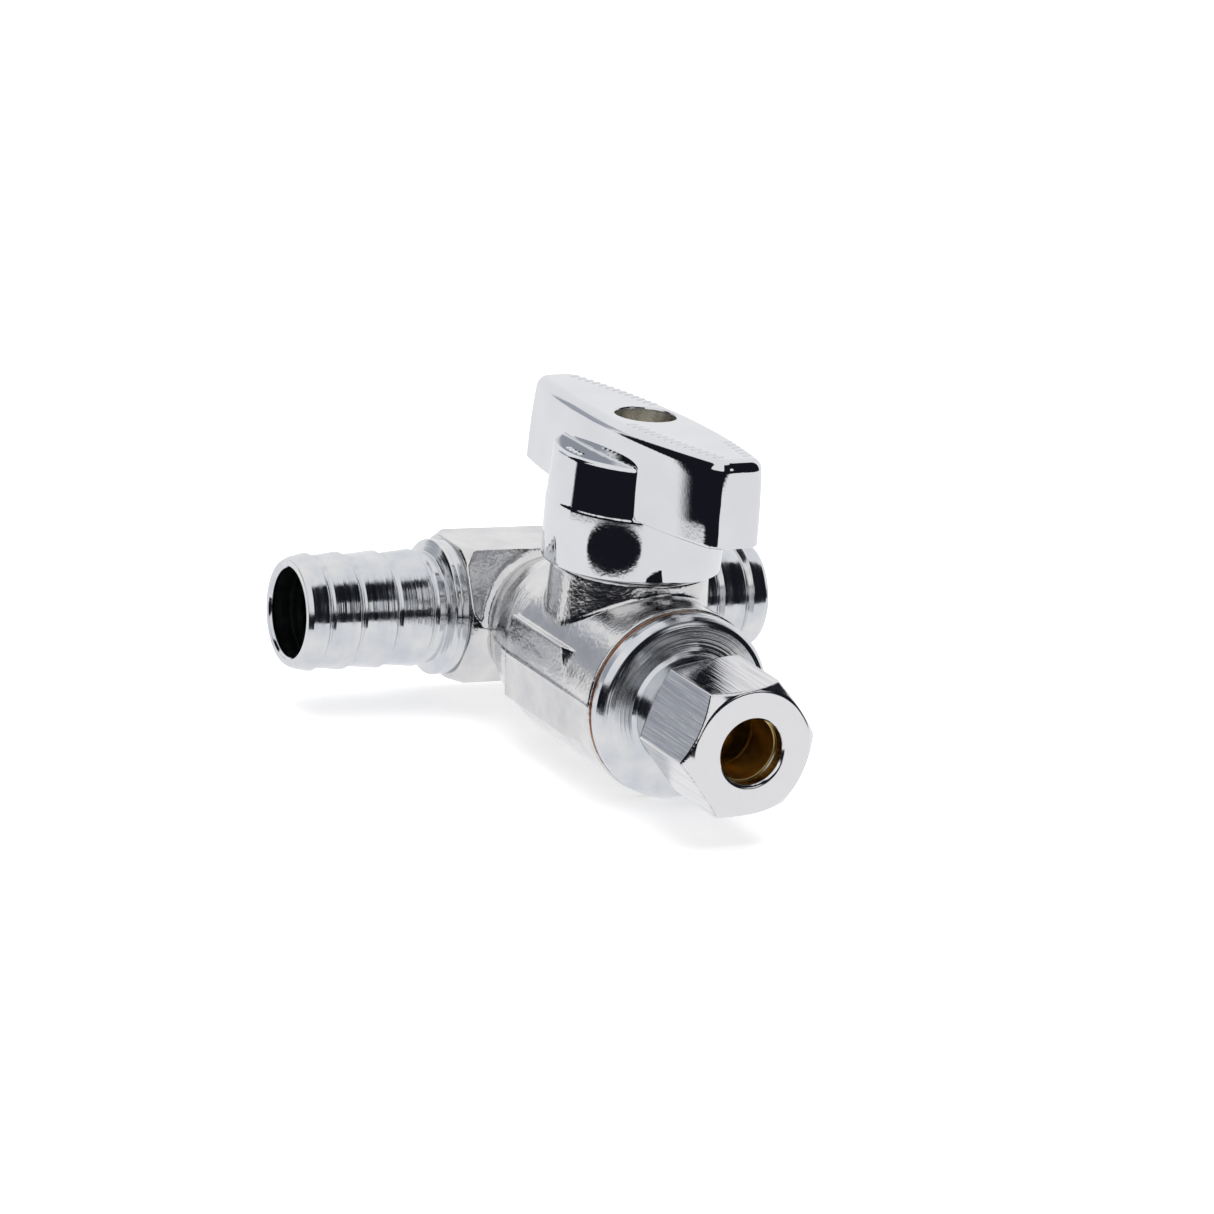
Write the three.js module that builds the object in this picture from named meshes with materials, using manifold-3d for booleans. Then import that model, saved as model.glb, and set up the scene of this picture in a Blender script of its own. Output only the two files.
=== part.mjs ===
// Tee ball stop valve: two barbed pipe ends in one line, a quarter-turn ball valve on the
// branch between them, and a compression outlet for a small tube.
//
// Units are millimetres. X runs along the barbed run, -Y out of the tube outlet and +Z up
// the stem. Every piece is drawn around the centre of the ball; the finished valve is then
// lifted so that z = 0 is the small flat under the body.

import * as THREE from "three";
import { ConvexGeometry } from "three/addons/geometries/ConvexGeometry.js";
import { mergeVertices } from "three/addons/utils/BufferGeometryUtils.js";
import Module from "manifold-3d";

const wasm = await Module();
wasm.setup();

// ---------------------------------------------------------------- driving dimensions

const BALL_HEIGHT = 9.4;            // centre of the ball above the flat under the body

// Barbed run
const RUN_SETBACK = 22.85;          // run axis behind the stem axis
const RUN_HALF_LENGTH = 26.7;
const RUN_BORE_RADIUS = 4.6;
const BARB_CREST_RADIUS = 6.1;
const BARB_ROOT_RADIUS = 5.5;
const BARB_NOSE_RADIUS = 5.45;
const BARB_GROOVES = [12.7, 16.75, 20.8, 24.3];   // from the middle of the run outwards
const GROOVE_WIDTH = 0.55;
const LAND_RADIUS = 5.85;
const COLLAR_RADIUS = 6.95;
const COLLAR_START = 11.3;          // outer end of the turned collar
const RUN_HEX_FLATS = 14.3;
const RUN_HEX_HALF_LENGTH = 9.2;

// Body barrel, on the outlet axis
const BARREL_FRONT = -12.0;
const BARREL_FRONT_RADIUS = 9.5;
const BARREL_RADIUS = 9.65;
const NECK_RADIUS = 7.95;
const NECK_TOP = 10.85;
const BOSS_RADIUS = 6.2;
const BOSS_TOP = 14.7;
const PAD_HALF_WIDTH = 9.62;
const PAD_TOP = 4.0;
const PAD_FRONT = -6.6;
const PAD_BACK = 6.6;

// Ball, seats and the bores that hold them
const BALL_RADIUS = 6.4;
const WATERWAY_RADIUS = 2.6;
const CHAMBER_RADIUS = 7.0;
const CHAMBER_BACK = 5.2;
const THREAD_BORE_RADIUS = 8.3;     // bore that takes the outlet adapter
const THREAD_BORE_BACK = -5.0;
const SEAT_RADIUS = 5.6;
const SEAT_BORE_RADIUS = 2.9;
const SEAT_CONTACT_RADIUS = 4.4;
const SEAT_BACK = 7.2;              // back of each seat, from the centre of the ball
const SEAT_CLEARANCE = 0.05;

// Stem
const TANG_THICKNESS = 2.3;
const TANG_WIDTH = 5.8;
const TANG_BOTTOM = 4.75;
const STEM_COLLAR_RADIUS = 4.0;
const STEM_COLLAR_BOTTOM = 6.9;
const STEM_COLLAR_TOP = 8.1;
const STEM_RADIUS = 3.0;
const STEM_BORE_RADIUS = 3.1;
const STEM_ROUND_TOP = 14.9;
const STEM_TOP = 19.7;
const DRIVE_HALF_FLATS = 2.1;
const STEM_SHELF = 8.85;            // underside of the body's shelf that keeps the stem in
const O_RING_HEIGHTS = [10.5, 12.9];
const O_RING_SECTION_RADIUS = 0.42;
const O_RING_CENTRE_RADIUS = 2.6;

// Handle
const LEVER_SKEW = 4.4;             // degrees the lever sits past square at the open stop
const LEVER_OFFSET = -0.25;         // the lever sits this far off the stem's centre
const HUB_BOTTOM = 11.17;
const HUB_RADIUS = 9.15;
const HUB_TOP = 22.7;
const HUB_TOP_RADIUS = 9.03;
const LEVER_BOTTOM = 17.65;         // also the height of the hub's parting line
const LEVER_TOP = 26.27;
const LEVER_NEAR = -18.95;
const LEVER_FAR = 18.0;
const LEVER_HALF_WIDTH = 5.1;
const LEVER_NEAR_HALF_WIDTH = 3.0;
const LEVER_FAR_HALF_WIDTH = 2.7;
const LEVER_EDGE = 1.1;             // rounding of the lever's top edges
const LEVER_CORNER = 1.4;           // rounding of its upright corners
const CAVITY_TOP = 15.3;
const CAVITY_RADIUS = 7.1;
const STOP_RIB_RADIUS = 6.45;
const SCREW_RECESS_RADIUS = 3.09;
const SCREW_RECESS_FLOOR = 20.9;
const TRAVEL = 90;                  // degrees from open to closed

// Stop lug on the body and the window it moves in
const LUG_ANGLE = 215;              // direction of the lug, degrees from +X towards +Y
const LUG_WIDTH = 36;
const LUG_RADIUS = 6.85;
const STOP_CLEARANCE = 1.5;

// Handle screw and lock washer
const SCREW_RADIUS = 1.45;
const SCREW_BOTTOM = 15.6;
const SCREW_HEAD_RADIUS = 2.65;
const SCREW_HEAD_BOTTOM = 21.6;
const SCREW_HEAD_TOP = 23.1;
const LOCK_WASHER_BOTTOM = 20.98;
const LOCK_WASHER_TOP = 21.52;

// Outlet adapter, nut and sleeve, on the outlet axis
const FLANGE_BACK = -12.4;
const FLANGE_RADIUS = 9.5;
const FLANGE_FACE_RADIUS = 8.7;
const FLANGE_FRONT = -14.1;
const PLUG_RADIUS = 8.0;
const PLUG_BACK = -5.3;
const NECK_COLLAR_RADIUS = 5.75;
const ADAPTER_THREAD_RADIUS = 5.15; // pitch radius of the 7/16 inch thread
const ADAPTER_FRONT = -22.6;
const TUBE_STOP = -17.4;
const TUBE_SOCKET_RADIUS = 3.3;
const NUT_FLATS = 12.7;
const NUT_TURN = 9;                 // degrees the nut's corners are turned from +X
const NUT_BACK = -18.04;
const NUT_FRONT = -28.13;
const NUT_FACE_RADIUS = 6.23;
const NUT_THREAD_RADIUS = 5.3;
const NUT_HOLE_RADIUS = 3.3;
const SLEEVE_BORE_RADIUS = 3.19;

// Facets around each turned piece
const FINE = 48;
const MEDIUM = 36;
const BARB_FACETS = 32;
const COARSE = 24;

// ---------------------------------------------------------------- colours

const finishes = {
  forgedChrome: { color: 0xc9cacc, roughness: 0.28, metalness: 1 },
  brightChrome: { color: 0xdfe2e6, roughness: 0.08, metalness: 1 },
  brass: { color: 0xb98a33, roughness: 0.3, metalness: 1 },
  copper: { color: 0xa06a44, roughness: 0.45, metalness: 1 },
  steel: { color: 0xb8b4aa, roughness: 0.3, metalness: 1 },
  whitePolymer: { color: 0xe9e8e2, roughness: 0.5, metalness: 0 },
  blackRubber: { color: 0x1c1c1e, roughness: 0.7, metalness: 0 },
};

// ---------------------------------------------------------------- solids

// Turns a closed three.js geometry into a solid that can be joined and cut.
function toSolid(geometry) {
  const bare = geometry.clone();
  bare.deleteAttribute("normal");
  bare.deleteAttribute("uv");
  const merged = mergeVertices(bare, 1e-5);
  const corners = merged.index.array;
  const kept = [];
  for (let i = 0; i < corners.length; i += 3) {
    const [a, b, c] = [corners[i], corners[i + 1], corners[i + 2]];
    if (a !== b && b !== c && c !== a) kept.push(a, b, c);
  }
  return new wasm.Manifold(new wasm.Mesh({
    numProp: 3,
    vertProperties: new Float32Array(merged.attributes.position.array),
    triVerts: new Uint32Array(kept),
  }));
}

function toGeometry(solid) {
  const { vertProperties, triVerts } = solid.getMesh();
  const geometry = new THREE.BufferGeometry();
  geometry.setAttribute("position", new THREE.BufferAttribute(vertProperties, 3));
  geometry.setIndex(new THREE.BufferAttribute(triVerts, 1));
  geometry.computeVertexNormals();
  return geometry;
}

function join(solids) {
  return solids.reduce((whole, solid) => whole.add(solid));
}

// Turned solids. A profile lists [radius, height] pairs anticlockwise; it starts and ends on
// the axis, or closes on itself for a ring.
function lathe(profile, facets) {
  return new THREE.LatheGeometry(profile.map(([r, h]) => new THREE.Vector2(r, h)), facets);
}

function ring(profile, facets) {
  return lathe([...profile, profile[0]], facets);
}

const turnedOnY = (profile, facets) => toSolid(lathe(profile, facets));
const turnedOnZ = (profile, facets) => toSolid(lathe(profile, facets).rotateX(Math.PI / 2));
const turnedOnX = (profile, facets) => toSolid(lathe(profile, facets).rotateZ(-Math.PI / 2));

// A plain round bar between two heights, as a profile.
const bar = (radius, low, high) => [[0, low], [radius, low], [radius, high], [0, high]];

function block(low, high) {
  const size = high.map((value, i) => value - low[i]);
  const middle = high.map((value, i) => (value + low[i]) / 2);
  return toSolid(new THREE.BoxGeometry(...size).translate(...middle));
}

// Corners of a regular hexagon, the first at the given angle.
function hexagon(acrossFlats, firstCorner) {
  const radius = acrossFlats / Math.sqrt(3);
  const shape = new THREE.Shape();
  for (let i = 0; i < 6; i += 1) {
    const angle = THREE.MathUtils.degToRad(firstCorner + 60 * i);
    const corner = [radius * Math.cos(angle), radius * Math.sin(angle)];
    if (i === 0) shape.moveTo(...corner);
    else shape.lineTo(...corner);
  }
  return shape;
}

function prism(shape, depth, curveSegments = 8) {
  return new THREE.ExtrudeGeometry(shape, { depth, bevelEnabled: false, curveSegments });
}

// A slice of a ring about the stem, between two angles and two heights.
function sector(inner, outer, fromDegrees, toDegrees, low, high) {
  const start = THREE.MathUtils.degToRad(fromDegrees);
  const end = THREE.MathUtils.degToRad(toDegrees);
  const shape = new THREE.Shape();
  shape.absarc(0, 0, outer, start, end, false);
  shape.absarc(0, 0, inner, end, start, true);
  return toSolid(prism(shape, high - low, 24).translate(0, 0, low));
}

// ---------------------------------------------------------------- tee body

// The turned barrel, drawn in towards the run at its back.
function barrel() {
  return turnedOnY([
    [0, BARREL_FRONT],
    [BARREL_FRONT_RADIUS, BARREL_FRONT],
    [BARREL_RADIUS, BARREL_FRONT + 0.2],
    [BARREL_RADIUS, 9.0],
    [9.5, 11.0],
    [8.9, 13.5],
    [8.15, 15.7],
    [7.3, 17.5],
    [6.6, 19.5],
    [6.0, RUN_SETBACK],
    [0, RUN_SETBACK],
  ], FINE);
}

// Hexagonal block that carries the run, with its ends chamfered by turning.
function runBlock() {
  const half = RUN_HEX_HALF_LENGTH;
  const corner = RUN_HEX_FLATS / Math.sqrt(3);
  const faceRadius = RUN_HEX_FLATS / 2 - 0.1;
  const chamferLength = (corner - faceRadius) * 1.4;
  const hex = toSolid(
    prism(hexagon(RUN_HEX_FLATS, 0), 2 * half).translate(0, 0, -half).rotateX(Math.PI / 2).rotateZ(Math.PI / 2),
  );
  const turned = turnedOnX([
    [0, -half],
    [faceRadius, -half],
    [corner, chamferLength - half],
    [corner, half - chamferLength],
    [faceRadius, half],
    [0, half],
  ], FINE);
  return hex.intersect(turned).translate([0, RUN_SETBACK, 0]);
}

// Half of a barbed end, drawn on +X from the middle of the run outwards. Each barb falls
// slightly from its crest to the groove on its outer side.
function barbProfile() {
  const profile = [[0, 0], [COLLAR_RADIUS, 0], [COLLAR_RADIUS, COLLAR_START - 0.8]];
  profile.push([COLLAR_RADIUS - 0.4, COLLAR_START - 0.55], [LAND_RADIUS, COLLAR_START]);
  for (const groove of BARB_GROOVES) {
    const isInnermost = groove === BARB_GROOVES[0];
    const tail = isInnermost ? LAND_RADIUS : BARB_CREST_RADIUS - 0.3;
    profile.push([tail, groove - GROOVE_WIDTH], [BARB_ROOT_RADIUS, groove - GROOVE_WIDTH / 4]);
    profile.push([BARB_CREST_RADIUS, groove + 0.3]);
  }
  profile.push([BARB_NOSE_RADIUS + 0.3, RUN_HALF_LENGTH - 0.6], [BARB_NOSE_RADIUS, RUN_HALF_LENGTH]);
  profile.push([0, RUN_HALF_LENGTH]);
  return profile;
}

function barbedEnds() {
  const outward = barbProfile();
  const right = turnedOnX(outward, BARB_FACETS);
  const left = turnedOnX(outward.map(([r, h]) => [r, -h]).reverse(), BARB_FACETS);
  return right.add(left).translate([0, RUN_SETBACK, 0]);
}

// Forged flat pad on each side of the barrel, running out into it low down. The upper front
// corner of each pad is cut back at a slant.
function sidePads() {
  const inner = PAD_HALF_WIDTH - 1.6;
  const corners = [
    [PAD_HALF_WIDTH, PAD_FRONT, 0],
    [PAD_HALF_WIDTH, PAD_FRONT + 0.1, 0.6],
    [PAD_HALF_WIDTH, PAD_FRONT + 2.2, PAD_TOP],
    [PAD_HALF_WIDTH, PAD_BACK, PAD_TOP],
    [PAD_HALF_WIDTH, PAD_BACK, 0],
    [inner, PAD_FRONT, 0],
    [inner, PAD_FRONT - 0.4, PAD_TOP],
    [inner, PAD_BACK, PAD_TOP],
    [inner, PAD_BACK, 0],
  ];
  const pads = [-1, 1].map((side) => {
    const points = corners.map(([x, y, z]) => new THREE.Vector3(side * x, y, z));
    return toSolid(new ConvexGeometry(points));
  });
  return join(pads);
}

function stemTower() {
  return turnedOnZ([
    [0, 0],
    [NECK_RADIUS, 0],
    [NECK_RADIUS, NECK_TOP],
    [BOSS_RADIUS, NECK_TOP],
    [BOSS_RADIUS, BOSS_TOP - 0.3],
    [BOSS_RADIUS - 0.3, BOSS_TOP],
    [0, BOSS_TOP],
  ], FINE);
}

function stopLug() {
  const low = LUG_ANGLE - LUG_WIDTH / 2;
  const high = LUG_ANGLE + LUG_WIDTH / 2;
  return sector(BOSS_RADIUS - 1, LUG_RADIUS, low, high, NECK_TOP - 1, 13.4);
}

function bodyHollows() {
  const run = turnedOnX(bar(RUN_BORE_RADIUS, -RUN_HALF_LENGTH - 1, RUN_HALF_LENGTH + 1), MEDIUM);
  const waterway = turnedOnY([
    [0, BARREL_FRONT - 1],
    [THREAD_BORE_RADIUS, BARREL_FRONT - 1],
    [THREAD_BORE_RADIUS, THREAD_BORE_BACK],
    [CHAMBER_RADIUS, THREAD_BORE_BACK],
    [CHAMBER_RADIUS, CHAMBER_BACK],
    [SEAT_RADIUS + 0.15, CHAMBER_BACK],
    [SEAT_RADIUS + 0.15, SEAT_BACK + 0.1],
    [WATERWAY_RADIUS, SEAT_BACK + 0.1],
    [WATERWAY_RADIUS, RUN_SETBACK],
    [0, RUN_SETBACK],
  ], MEDIUM);
  const stemBore = turnedOnZ([
    [0, 0],
    [STEM_COLLAR_RADIUS + 0.2, 0],
    [STEM_COLLAR_RADIUS + 0.2, STEM_SHELF],
    [STEM_BORE_RADIUS, STEM_SHELF],
    [STEM_BORE_RADIUS, BOSS_TOP + 1],
    [0, BOSS_TOP + 1],
  ], MEDIUM);
  return join([run.translate([0, RUN_SETBACK, 0]), waterway, stemBore]);
}

function teeBody() {
  const outside = join([barrel(), runBlock(), barbedEnds(), sidePads(), stemTower(), stopLug()]);
  const belowFlat = block([-20, BARREL_FRONT - 5, -20], [20, RUN_SETBACK + 20, -BALL_HEIGHT]);
  return outside.subtract(bodyHollows()).subtract(belowFlat);
}

// ---------------------------------------------------------------- outlet

function outletAdapter() {
  return toSolid(ring([
    [TUBE_SOCKET_RADIUS + 1, ADAPTER_FRONT],
    [ADAPTER_THREAD_RADIUS - 0.3, ADAPTER_FRONT],
    [ADAPTER_THREAD_RADIUS, ADAPTER_FRONT + 0.3],
    [ADAPTER_THREAD_RADIUS, -17.6],
    [NECK_COLLAR_RADIUS, -17.2],
    [NECK_COLLAR_RADIUS, -15.1],
    [NECK_COLLAR_RADIUS + 0.5, -14.6],
    [FLANGE_FACE_RADIUS - 0.2, FLANGE_FRONT - 0.1],
    [FLANGE_FACE_RADIUS, FLANGE_FRONT],
    [9.15, -13.75],
    [FLANGE_RADIUS, -13.2],
    [FLANGE_RADIUS, FLANGE_BACK],
    [PLUG_RADIUS, FLANGE_BACK],
    [PLUG_RADIUS, PLUG_BACK - 0.4],
    [PLUG_RADIUS - 0.4, PLUG_BACK],
    [SEAT_RADIUS + 0.15, PLUG_BACK],
    [SEAT_RADIUS + 0.15, -SEAT_BACK - 0.1],
    [WATERWAY_RADIUS, -SEAT_BACK - 0.1],
    [WATERWAY_RADIUS, TUBE_STOP],
    [TUBE_SOCKET_RADIUS, TUBE_STOP],
    [TUBE_SOCKET_RADIUS, ADAPTER_FRONT + 1],
  ], MEDIUM));
}

// Thin ring squeezed between the adapter's flange and the body.
function sealRing() {
  return toSolid(ring([
    [8.4, FLANGE_BACK + 0.05],
    [9.35, FLANGE_BACK + 0.05],
    [9.35, BARREL_FRONT - 0.05],
    [8.4, BARREL_FRONT - 0.05],
  ], FINE));
}

function compressionNut() {
  const corner = NUT_FLATS / Math.sqrt(3);
  const chamfer = corner - NUT_FACE_RADIUS;
  const hex = toSolid(
    prism(hexagon(NUT_FLATS, NUT_TURN), NUT_BACK - NUT_FRONT).rotateX(Math.PI / 2).translate(0, NUT_BACK, 0),
  );
  const turned = turnedOnY([
    [0, NUT_FRONT],
    [NUT_FACE_RADIUS, NUT_FRONT],
    [corner, NUT_FRONT + chamfer],
    [corner, NUT_BACK - 0.4],
    [corner - 0.9, NUT_BACK],
    [0, NUT_BACK],
  ], FINE);
  const bore = turnedOnY([
    [0, NUT_FRONT - 1],
    [NUT_HOLE_RADIUS + 0.15, NUT_FRONT - 1],
    [NUT_HOLE_RADIUS + 0.15, NUT_FRONT],
    [NUT_HOLE_RADIUS, NUT_FRONT + 0.15],
    [NUT_HOLE_RADIUS, -26.75],
    [4.4, -25.4],
    [NUT_THREAD_RADIUS, -25.0],
    [NUT_THREAD_RADIUS, NUT_BACK - 0.6],
    [NUT_THREAD_RADIUS + 0.6, NUT_BACK],
    [NUT_THREAD_RADIUS + 0.6, NUT_BACK + 1],
    [0, NUT_BACK + 1],
  ], MEDIUM);
  return hex.intersect(turned).subtract(bore);
}

function compressionSleeve() {
  return toSolid(ring([
    [SLEEVE_BORE_RADIUS, -26.45],
    [3.42, -26.45],
    [4.1, -25.2],
    [4.1, -22.9],
    [3.5, -22.0],
    [SLEEVE_BORE_RADIUS, -22.0],
  ], MEDIUM));
}

// ---------------------------------------------------------------- ball and seats

// The slot across the top lies at right angles to the waterway.
function ball() {
  const sphere = toSolid(new THREE.SphereGeometry(BALL_RADIUS, 32, 20));
  const waterway = turnedOnY(bar(WATERWAY_RADIUS, -BALL_RADIUS - 1, BALL_RADIUS + 1), COARSE);
  const slotHalf = TANG_THICKNESS / 2 + 0.1;
  const slotFloor = TANG_BOTTOM - 0.2;
  const slot = block([-BALL_RADIUS, -slotHalf, slotFloor], [BALL_RADIUS, slotHalf, BALL_RADIUS + 1]);
  return sphere.subtract(waterway).subtract(slot);
}

// A seat ring whose cone is tangent to the ball at the contact radius. The direction is
// +1 for the inlet side and -1 for the outlet side.
function seat(direction) {
  const contactY = Math.sqrt(BALL_RADIUS ** 2 - SEAT_CONTACT_RADIUS ** 2);
  const slope = -SEAT_CONTACT_RADIUS / contactY;
  const lift = SEAT_CLEARANCE * Math.sqrt(1 + slope ** 2);
  const coneAt = (radius) => contactY + lift + slope * (radius - SEAT_CONTACT_RADIUS);
  const inletProfile = [
    [SEAT_BORE_RADIUS, coneAt(SEAT_BORE_RADIUS)],
    [SEAT_RADIUS, coneAt(SEAT_RADIUS)],
    [SEAT_RADIUS, SEAT_BACK],
    [SEAT_BORE_RADIUS, SEAT_BACK],
  ];
  const profile = direction > 0 ? inletProfile : inletProfile.map(([r, h]) => [r, -h]).reverse();
  return toSolid(ring(profile, MEDIUM));
}

// ---------------------------------------------------------------- stem

function stem() {
  const profile = [
    [0, STEM_COLLAR_BOTTOM],
    [STEM_COLLAR_RADIUS, STEM_COLLAR_BOTTOM],
    [STEM_COLLAR_RADIUS, STEM_COLLAR_TOP],
    [STEM_RADIUS, STEM_COLLAR_TOP],
  ];
  const grooveHalf = O_RING_SECTION_RADIUS + 0.13;
  const grooveRadius = O_RING_CENTRE_RADIUS - O_RING_SECTION_RADIUS - 0.05;
  for (const height of O_RING_HEIGHTS) {
    profile.push([STEM_RADIUS, height - grooveHalf], [grooveRadius, height - grooveHalf]);
    profile.push([grooveRadius, height + grooveHalf], [STEM_RADIUS, height + grooveHalf]);
  }
  profile.push([STEM_RADIUS, STEM_TOP - 0.3], [STEM_RADIUS - 0.3, STEM_TOP], [0, STEM_TOP]);
  const shaft = turnedOnZ(profile, COARSE);
  const tang = block(
    [-TANG_WIDTH / 2, -TANG_THICKNESS / 2, TANG_BOTTOM],
    [TANG_WIDTH / 2, TANG_THICKNESS / 2, STEM_COLLAR_BOTTOM + 0.5],
  );
  const flatCuts = [-1, 1].map((side) => {
    const cut = block([DRIVE_HALF_FLATS, -5, STEM_ROUND_TOP], [5, 5, STEM_TOP + 1]);
    return side > 0 ? cut : cut.mirror([1, 0, 0]);
  });
  const screwHole = turnedOnZ(bar(SCREW_RADIUS + 0.1, SCREW_BOTTOM - 0.4, STEM_TOP + 1), COARSE);
  return shaft.add(tang).subtract(join([...flatCuts, screwHole]));
}

function oRing(height) {
  const torus = new THREE.TorusGeometry(O_RING_CENTRE_RADIUS, O_RING_SECTION_RADIUS, 8, COARSE);
  return toSolid(torus.translate(0, 0, height));
}

function thrustWasher() {
  return toSolid(ring([
    [STEM_RADIUS + 0.12, STEM_COLLAR_TOP + 0.06],
    [STEM_COLLAR_RADIUS, STEM_COLLAR_TOP + 0.06],
    [STEM_COLLAR_RADIUS, STEM_SHELF - 0.06],
    [STEM_RADIUS + 0.12, STEM_SHELF - 0.06],
  ], COARSE).rotateX(Math.PI / 2));
}

// ---------------------------------------------------------------- handle

// Boat-shaped outline: widest at the stem, narrower at both blunt ends, corners rounded.
function leverOutline(inset) {
  const near = LEVER_NEAR + inset;
  const far = LEVER_FAR - inset;
  const nearHalf = LEVER_NEAR_HALF_WIDTH - inset;
  const farHalf = LEVER_FAR_HALF_WIDTH - inset;
  const bulge = 2 * (LEVER_HALF_WIDTH - inset) - (nearHalf + farHalf) / 2;
  const middle = (near + far) / 2;
  const round = LEVER_CORNER - inset;
  const shape = new THREE.Shape();
  shape.moveTo(round - nearHalf, near);
  shape.lineTo(nearHalf - round, near);
  shape.quadraticCurveTo(nearHalf, near, nearHalf + 0.1, near + round);
  shape.quadraticCurveTo(bulge, middle, farHalf + 0.1, far - round);
  shape.quadraticCurveTo(farHalf, far, farHalf - round, far);
  shape.lineTo(round - farHalf, far);
  shape.quadraticCurveTo(-farHalf, far, -farHalf - 0.1, far - round);
  shape.quadraticCurveTo(-bulge, middle, -nearHalf - 0.1, near + round);
  shape.quadraticCurveTo(-nearHalf, near, round - nearHalf, near);
  return shape;
}

// The extruder's bevel grows the inset outline and rounds its edges. The lower bevel falls
// below the lever and is cut away, which leaves the underside with a sharp edge.
function lever() {
  const geometry = new THREE.ExtrudeGeometry(leverOutline(LEVER_EDGE), {
    depth: LEVER_TOP - LEVER_BOTTOM - LEVER_EDGE,
    bevelEnabled: true,
    bevelSize: LEVER_EDGE,
    bevelThickness: LEVER_EDGE,
    bevelSegments: 3,
    curveSegments: 6,
  });
  const rounded = toSolid(geometry.translate(0, 0, LEVER_BOTTOM));
  return rounded.subtract(block([-20, -30, LEVER_BOTTOM - 5], [20, 30, LEVER_BOTTOM]));
}

function handleHub() {
  return turnedOnZ([
    [0, HUB_BOTTOM],
    [HUB_RADIUS - 0.35, HUB_BOTTOM],
    [HUB_RADIUS - 0.08, HUB_BOTTOM + 0.35],
    [HUB_RADIUS, LEVER_BOTTOM],
    [HUB_TOP_RADIUS, HUB_TOP - 0.45],
    [HUB_TOP_RADIUS - 0.15, HUB_TOP - 0.15],
    [HUB_TOP_RADIUS - 0.45, HUB_TOP],
    [0, HUB_TOP],
  ], FINE);
}

// Cavity over the body's boss. A wide rib inside it leaves a window for the stop lug, and the
// ends of that window set the open and closed stops.
function handleCavity() {
  const windowStart = LUG_ANGLE - LUG_WIDTH / 2 - STOP_CLEARANCE;
  const windowEnd = LUG_ANGLE + LUG_WIDTH / 2 + TRAVEL + STOP_CLEARANCE;
  const core = turnedOnZ(bar(STOP_RIB_RADIUS, HUB_BOTTOM - 1, CAVITY_TOP), MEDIUM);
  const lip = turnedOnZ(bar(CAVITY_RADIUS, HUB_BOTTOM - 1, HUB_BOTTOM + 0.5), MEDIUM);
  const window = sector(STOP_RIB_RADIUS - 1, CAVITY_RADIUS, windowStart, windowEnd, HUB_BOTTOM - 1, CAVITY_TOP);
  return join([core, lip, window]);
}

// Double-D socket for the stem.
function driveSocket() {
  const half = DRIVE_HALF_FLATS + 0.12;
  const round = turnedOnZ(bar(STEM_RADIUS + 0.12, CAVITY_TOP - 0.5, STEM_TOP + 0.2), COARSE);
  const between = block([-half, -5, CAVITY_TOP - 1], [half, 5, STEM_TOP + 1]);
  return round.intersect(between);
}

function handle() {
  const skewed = lever().rotate([0, 0, LEVER_SKEW]).translate([LEVER_OFFSET, 0, 0]);
  const clearance = turnedOnZ(bar(SCREW_RADIUS + 0.3, STEM_TOP - 1, LEVER_TOP + 1), COARSE);
  const recess = turnedOnZ(bar(SCREW_RECESS_RADIUS, SCREW_RECESS_FLOOR, LEVER_TOP + 1), MEDIUM);
  return handleHub().add(skewed).subtract(join([handleCavity(), driveSocket(), clearance, recess]));
}

// ---------------------------------------------------------------- handle fasteners

// Pan-head screw with a cross recess.
function handleScrew() {
  const screw = turnedOnZ([
    [0, SCREW_BOTTOM],
    [SCREW_RADIUS - 0.4, SCREW_BOTTOM],
    [SCREW_RADIUS, SCREW_BOTTOM + 0.4],
    [SCREW_RADIUS, SCREW_HEAD_BOTTOM],
    [SCREW_HEAD_RADIUS, SCREW_HEAD_BOTTOM],
    [SCREW_HEAD_RADIUS, SCREW_HEAD_TOP - 0.6],
    [SCREW_HEAD_RADIUS - 0.25, SCREW_HEAD_TOP - 0.2],
    [SCREW_HEAD_RADIUS - 0.8, SCREW_HEAD_TOP],
    [0, SCREW_HEAD_TOP],
  ], COARSE);
  const slotLong = 1.4;
  const slotHalf = 0.3;
  const floor = SCREW_HEAD_TOP - 0.9;
  const recess = join([
    block([-slotLong, -slotHalf, floor], [slotLong, slotHalf, SCREW_HEAD_TOP + 1]),
    block([-slotHalf, -slotLong, floor], [slotHalf, slotLong, SCREW_HEAD_TOP + 1]),
  ]);
  return screw.subtract(recess);
}

// Split spring washer, drawn flat as it lies when tightened.
function lockWasher() {
  const whole = toSolid(ring([
    [SCREW_RADIUS + 0.15, LOCK_WASHER_BOTTOM],
    [SCREW_HEAD_RADIUS, LOCK_WASHER_BOTTOM],
    [SCREW_HEAD_RADIUS, LOCK_WASHER_TOP],
    [SCREW_RADIUS + 0.15, LOCK_WASHER_TOP],
  ], COARSE).rotateX(Math.PI / 2));
  return whole.subtract(block([0, -0.2, LOCK_WASHER_BOTTOM - 1], [5, 0.2, LOCK_WASHER_TOP + 1]));
}

// ---------------------------------------------------------------- assembly

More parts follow.
